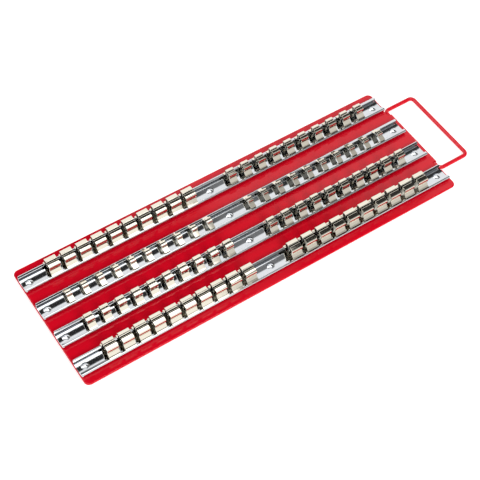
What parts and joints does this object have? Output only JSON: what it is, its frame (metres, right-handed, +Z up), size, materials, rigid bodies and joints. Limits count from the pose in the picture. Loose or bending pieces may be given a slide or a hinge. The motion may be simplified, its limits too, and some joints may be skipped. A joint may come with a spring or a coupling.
{
  "type": "socket rail tray",
  "caption": "Flat red steel tray with plated rails, sliding spring clips that hold sockets by their drive squares, and a swinging wire handle.",
  "frame": {"origin": "centre of the flat underside of the tray's folded hem", "axes": "+X along the rails towards the handle, +Y across the rails towards the back row, +Z up out of the tray"},
  "size_m": [0.4649, 0.148, 0.0231],
  "materials": {
    "red_paint": "glossy red enamel on steel",
    "plated_steel": "bright zinc plating on roll-formed steel",
    "spring_steel": "bright nickel plating on spring steel strip"
  },
  "bodies": {
    "tray_and_rails": {"tray": "red_paint", "rail_1": "plated_steel", "rail_2": "plated_steel", "rail_3": "plated_steel", "rail_4": "plated_steel", "rivets_1": "plated_steel", "rivets_2": "plated_steel", "rivets_3": "plated_steel", "rivets_4": "plated_steel"},
    "handle": {"handle": "red_paint"},
    "clip_r1_left_1": {"clip_r1_left_1": "spring_steel"},
    "clips_r1_left_2_3": {"clips_r1_left_2_3": "spring_steel"},
    "clips_r1_left_4_5": {"clips_r1_left_4_5": "spring_steel"},
    "clips_r1_left_6_7": {"clips_r1_left_6_7": "spring_steel"},
    "clips_r1_left_8_9": {"clips_r1_left_8_9": "spring_steel"},
    "clip_r1_left_10": {"clip_r1_left_10": "spring_steel"},
    "clip_r1_right_1": {"clip_r1_right_1": "spring_steel"},
    "clips_r1_right_2_3": {"clips_r1_right_2_3": "spring_steel"},
    "clips_r1_right_4_5": {"clips_r1_right_4_5": "spring_steel"},
    "clips_r1_right_6_7": {"clips_r1_right_6_7": "spring_steel"},
    "clips_r1_right_8_9": {"clips_r1_right_8_9": "spring_steel"},
    "clip_r1_right_10": {"clip_r1_right_10": "spring_steel"},
    "clip_r2_left_1": {"clip_r2_left_1": "spring_steel"},
    "clips_r2_left_2_3": {"clips_r2_left_2_3": "spring_steel"},
    "clips_r2_left_4_5": {"clips_r2_left_4_5": "spring_steel"},
    "clips_r2_left_6_7": {"clips_r2_left_6_7": "spring_steel"},
    "clips_r2_left_8_9": {"clips_r2_left_8_9": "spring_steel"},
    "clip_r2_left_10": {"clip_r2_left_10": "spring_steel"},
    "clip_r2_right_1": {"clip_r2_right_1": "spring_steel"},
    "clips_r2_right_2_3": {"clips_r2_right_2_3": "spring_steel"},
    "clips_r2_right_4_5": {"clips_r2_right_4_5": "spring_steel"},
    "clips_r2_right_6_7": {"clips_r2_right_6_7": "spring_steel"},
    "clips_r2_right_8_9": {"clips_r2_right_8_9": "spring_steel"},
    "clip_r2_right_10": {"clip_r2_right_10": "spring_steel"},
    "clip_r3_left_1": {"clip_r3_left_1": "spring_steel"},
    "clips_r3_left_2_3": {"clips_r3_left_2_3": "spring_steel"},
    "clips_r3_left_4_5": {"clips_r3_left_4_5": "spring_steel"},
    "clips_r3_left_6_7": {"clips_r3_left_6_7": "spring_steel"},
    "clips_r3_left_8_9": {"clips_r3_left_8_9": "spring_steel"},
    "clip_r3_left_10": {"clip_r3_left_10": "spring_steel"},
    "clip_r3_right_1": {"clip_r3_right_1": "spring_steel"},
    "clips_r3_right_2_3": {"clips_r3_right_2_3": "spring_steel"},
    "clips_r3_right_4_5": {"clips_r3_right_4_5": "spring_steel"},
    "clips_r3_right_6_7": {"clips_r3_right_6_7": "spring_steel"},
    "clips_r3_right_8_9": {"clips_r3_right_8_9": "spring_steel"},
    "clip_r3_right_10": {"clip_r3_right_10": "spring_steel"},
    "clip_r4_left_1": {"clip_r4_left_1": "spring_steel"},
    "clips_r4_left_2_3": {"clips_r4_left_2_3": "spring_steel"},
    "clips_r4_left_4_5": {"clips_r4_left_4_5": "spring_steel"},
    "clips_r4_left_6_7": {"clips_r4_left_6_7": "spring_steel"},
    "clips_r4_left_8_9": {"clips_r4_left_8_9": "spring_steel"},
    "clip_r4_left_10": {"clip_r4_left_10": "spring_steel"},
    "clip_r4_right_1": {"clip_r4_right_1": "spring_steel"},
    "clips_r4_right_2_3": {"clips_r4_right_2_3": "spring_steel"},
    "clips_r4_right_4_5": {"clips_r4_right_4_5": "spring_steel"},
    "clips_r4_right_6_7": {"clips_r4_right_6_7": "spring_steel"},
    "clips_r4_right_8_9": {"clips_r4_right_8_9": "spring_steel"},
    "clip_r4_right_10": {"clip_r4_right_10": "spring_steel"}
  },
  "joints": [
    {"name": "handle_swing", "type": "hinge", "parent": "tray_and_rails", "child": "handle", "pos_m": [0.21365, 0, -0.00116], "axis": [0, -1, 0], "range_deg": [0, 90]},
    {"name": "clip_r1_left_1_slide", "type": "slide", "parent": "tray_and_rails", "child": "clip_r1_left_1", "axis": [1, 0, 0], "range_m": [-0.0158, 0.0049]},
    {"name": "clips_r1_left_2_3_slide", "type": "slide", "parent": "tray_and_rails", "child": "clips_r1_left_2_3", "axis": [1, 0, 0], "range_m": [-0.0049, 0.0049]},
    {"name": "clips_r1_left_4_5_slide", "type": "slide", "parent": "tray_and_rails", "child": "clips_r1_left_4_5", "axis": [1, 0, 0], "range_m": [-0.0049, 0.0049]},
    {"name": "clips_r1_left_6_7_slide", "type": "slide", "parent": "tray_and_rails", "child": "clips_r1_left_6_7", "axis": [1, 0, 0], "range_m": [-0.0049, 0.0049]},
    {"name": "clips_r1_left_8_9_slide", "type": "slide", "parent": "tray_and_rails", "child": "clips_r1_left_8_9", "axis": [1, 0, 0], "range_m": [-0.0049, 0.0049]},
    {"name": "clip_r1_left_10_slide", "type": "slide", "parent": "tray_and_rails", "child": "clip_r1_left_10", "axis": [1, 0, 0], "range_m": [-0.0049, 0.0152]},
    {"name": "clip_r1_right_1_slide", "type": "slide", "parent": "tray_and_rails", "child": "clip_r1_right_1", "axis": [1, 0, 0], "range_m": [-0.01645, 0.00885]},
    {"name": "clips_r1_right_2_3_slide", "type": "slide", "parent": "tray_and_rails", "child": "clips_r1_right_2_3", "axis": [1, 0, 0], "range_m": [-0.00885, 0.00885]},
    {"name": "clips_r1_right_4_5_slide", "type": "slide", "parent": "tray_and_rails", "child": "clips_r1_right_4_5", "axis": [1, 0, 0], "range_m": [-0.00885, 0.00885]},
    {"name": "clips_r1_right_6_7_slide", "type": "slide", "parent": "tray_and_rails", "child": "clips_r1_right_6_7", "axis": [1, 0, 0], "range_m": [-0.00885, 0.00885]},
    {"name": "clips_r1_right_8_9_slide", "type": "slide", "parent": "tray_and_rails", "child": "clips_r1_right_8_9", "axis": [1, 0, 0], "range_m": [-0.00885, 0.00885]},
    {"name": "clip_r1_right_10_slide", "type": "slide", "parent": "tray_and_rails", "child": "clip_r1_right_10", "axis": [1, 0, 0], "range_m": [-0.00885, 0.012]},
    {"name": "clip_r2_left_1_slide", "type": "slide", "parent": "tray_and_rails", "child": "clip_r2_left_1", "axis": [1, 0, 0], "range_m": [-0.0159, 0.0111]},
    {"name": "clips_r2_left_2_3_slide", "type": "slide", "parent": "tray_and_rails", "child": "clips_r2_left_2_3", "axis": [1, 0, 0], "range_m": [-0.0111, 0.0111]},
    {"name": "clips_r2_left_4_5_slide", "type": "slide", "parent": "tray_and_rails", "child": "clips_r2_left_4_5", "axis": [1, 0, 0], "range_m": [-0.0111, 0.0111]},
    {"name": "clips_r2_left_6_7_slide", "type": "slide", "parent": "tray_and_rails", "child": "clips_r2_left_6_7", "axis": [1, 0, 0], "range_m": [-0.0111, 0.0111]},
    {"name": "clips_r2_left_8_9_slide", "type": "slide", "parent": "tray_and_rails", "child": "clips_r2_left_8_9", "axis": [1, 0, 0], "range_m": [-0.0111, 0.0111]},
    {"name": "clip_r2_left_10_slide", "type": "slide", "parent": "tray_and_rails", "child": "clip_r2_left_10", "axis": [1, 0, 0], "range_m": [-0.0111, 0.0173]},
    {"name": "clip_r2_right_1_slide", "type": "slide", "parent": "tray_and_rails", "child": "clip_r2_right_1", "axis": [1, 0, 0], "range_m": [-0.0163, 0.01155]},
    {"name": "clips_r2_right_2_3_slide", "type": "slide", "parent": "tray_and_rails", "child": "clips_r2_right_2_3", "axis": [1, 0, 0], "range_m": [-0.01155, 0.01155]},
    {"name": "clips_r2_right_4_5_slide", "type": "slide", "parent": "tray_and_rails", "child": "clips_r2_right_4_5", "axis": [1, 0, 0], "range_m": [-0.01155, 0.01155]},
    {"name": "clips_r2_right_6_7_slide", "type": "slide", "parent": "tray_and_rails", "child": "clips_r2_right_6_7", "axis": [1, 0, 0], "range_m": [-0.01155, 0.01155]},
    {"name": "clips_r2_right_8_9_slide", "type": "slide", "parent": "tray_and_rails", "child": "clips_r2_right_8_9", "axis": [1, 0, 0], "range_m": [-0.01155, 0.01155]},
    {"name": "clip_r2_right_10_slide", "type": "slide", "parent": "tray_and_rails", "child": "clip_r2_right_10", "axis": [1, 0, 0], "range_m": [-0.01155, 0.01285]},
    {"name": "clip_r3_left_1_slide", "type": "slide", "parent": "tray_and_rails", "child": "clip_r3_left_1", "axis": [1, 0, 0], "range_m": [-0.01685, 0.00825]},
    {"name": "clips_r3_left_2_3_slide", "type": "slide", "parent": "tray_and_rails", "child": "clips_r3_left_2_3", "axis": [1, 0, 0], "range_m": [-0.00825, 0.00825]},
    {"name": "clips_r3_left_4_5_slide", "type": "slide", "parent": "tray_and_rails", "child": "clips_r3_left_4_5", "axis": [1, 0, 0], "range_m": [-0.00825, 0.00825]},
    {"name": "clips_r3_left_6_7_slide", "type": "slide", "parent": "tray_and_rails", "child": "clips_r3_left_6_7", "axis": [1, 0, 0], "range_m": [-0.00825, 0.00825]},
    {"name": "clips_r3_left_8_9_slide", "type": "slide", "parent": "tray_and_rails", "child": "clips_r3_left_8_9", "axis": [1, 0, 0], "range_m": [-0.00825, 0.00825]},
    {"name": "clip_r3_left_10_slide", "type": "slide", "parent": "tray_and_rails", "child": "clip_r3_left_10", "axis": [1, 0, 0], "range_m": [-0.00825, 0.017]},
    {"name": "clip_r3_right_1_slide", "type": "slide", "parent": "tray_and_rails", "child": "clip_r3_right_1", "axis": [1, 0, 0], "range_m": [-0.01655, 0.0087]},
    {"name": "clips_r3_right_2_3_slide", "type": "slide", "parent": "tray_and_rails", "child": "clips_r3_right_2_3", "axis": [1, 0, 0], "range_m": [-0.0087, 0.0087]},
    {"name": "clips_r3_right_4_5_slide", "type": "slide", "parent": "tray_and_rails", "child": "clips_r3_right_4_5", "axis": [1, 0, 0], "range_m": [-0.0087, 0.0087]},
    {"name": "clips_r3_right_6_7_slide", "type": "slide", "parent": "tray_and_rails", "child": "clips_r3_right_6_7", "axis": [1, 0, 0], "range_m": [-0.0087, 0.0087]},
    {"name": "clips_r3_right_8_9_slide", "type": "slide", "parent": "tray_and_rails", "child": "clips_r3_right_8_9", "axis": [1, 0, 0], "range_m": [-0.0087, 0.0087]},
    {"name": "clip_r3_right_10_slide", "type": "slide", "parent": "tray_and_rails", "child": "clip_r3_right_10", "axis": [1, 0, 0], "range_m": [-0.0087, 0.01325]},
    {"name": "clip_r4_left_1_slide", "type": "slide", "parent": "tray_and_rails", "child": "clip_r4_left_1", "axis": [1, 0, 0], "range_m": [-0.0168, 0.00472]},
    {"name": "clips_r4_left_2_3_slide", "type": "slide", "parent": "tray_and_rails", "child": "clips_r4_left_2_3", "axis": [1, 0, 0], "range_m": [-0.00472, 0.00472]},
    {"name": "clips_r4_left_4_5_slide", "type": "slide", "parent": "tray_and_rails", "child": "clips_r4_left_4_5", "axis": [1, 0, 0], "range_m": [-0.00472, 0.00472]},
    {"name": "clips_r4_left_6_7_slide", "type": "slide", "parent": "tray_and_rails", "child": "clips_r4_left_6_7", "axis": [1, 0, 0], "range_m": [-0.00472, 0.00472]},
    {"name": "clips_r4_left_8_9_slide", "type": "slide", "parent": "tray_and_rails", "child": "clips_r4_left_8_9", "axis": [1, 0, 0], "range_m": [-0.00472, 0.00472]},
    {"name": "clip_r4_left_10_slide", "type": "slide", "parent": "tray_and_rails", "child": "clip_r4_left_10", "axis": [1, 0, 0], "range_m": [-0.00472, 0.01582]},
    {"name": "clip_r4_right_1_slide", "type": "slide", "parent": "tray_and_rails", "child": "clip_r4_right_1", "axis": [1, 0, 0], "range_m": [-0.0166, 0.00498]},
    {"name": "clips_r4_right_2_3_slide", "type": "slide", "parent": "tray_and_rails", "child": "clips_r4_right_2_3", "axis": [1, 0, 0], "range_m": [-0.00498, 0.00498]},
    {"name": "clips_r4_right_4_5_slide", "type": "slide", "parent": "tray_and_rails", "child": "clips_r4_right_4_5", "axis": [1, 0, 0], "range_m": [-0.00498, 0.00498]},
    {"name": "clips_r4_right_6_7_slide", "type": "slide", "parent": "tray_and_rails", "child": "clips_r4_right_6_7", "axis": [1, 0, 0], "range_m": [-0.00498, 0.00498]},
    {"name": "clips_r4_right_8_9_slide", "type": "slide", "parent": "tray_and_rails", "child": "clips_r4_right_8_9", "axis": [1, 0, 0], "range_m": [-0.00498, 0.00498]},
    {"name": "clip_r4_right_10_slide", "type": "slide", "parent": "tray_and_rails", "child": "clip_r4_right_10", "axis": [1, 0, 0], "range_m": [-0.00498, 0.01368]}
  ]
}
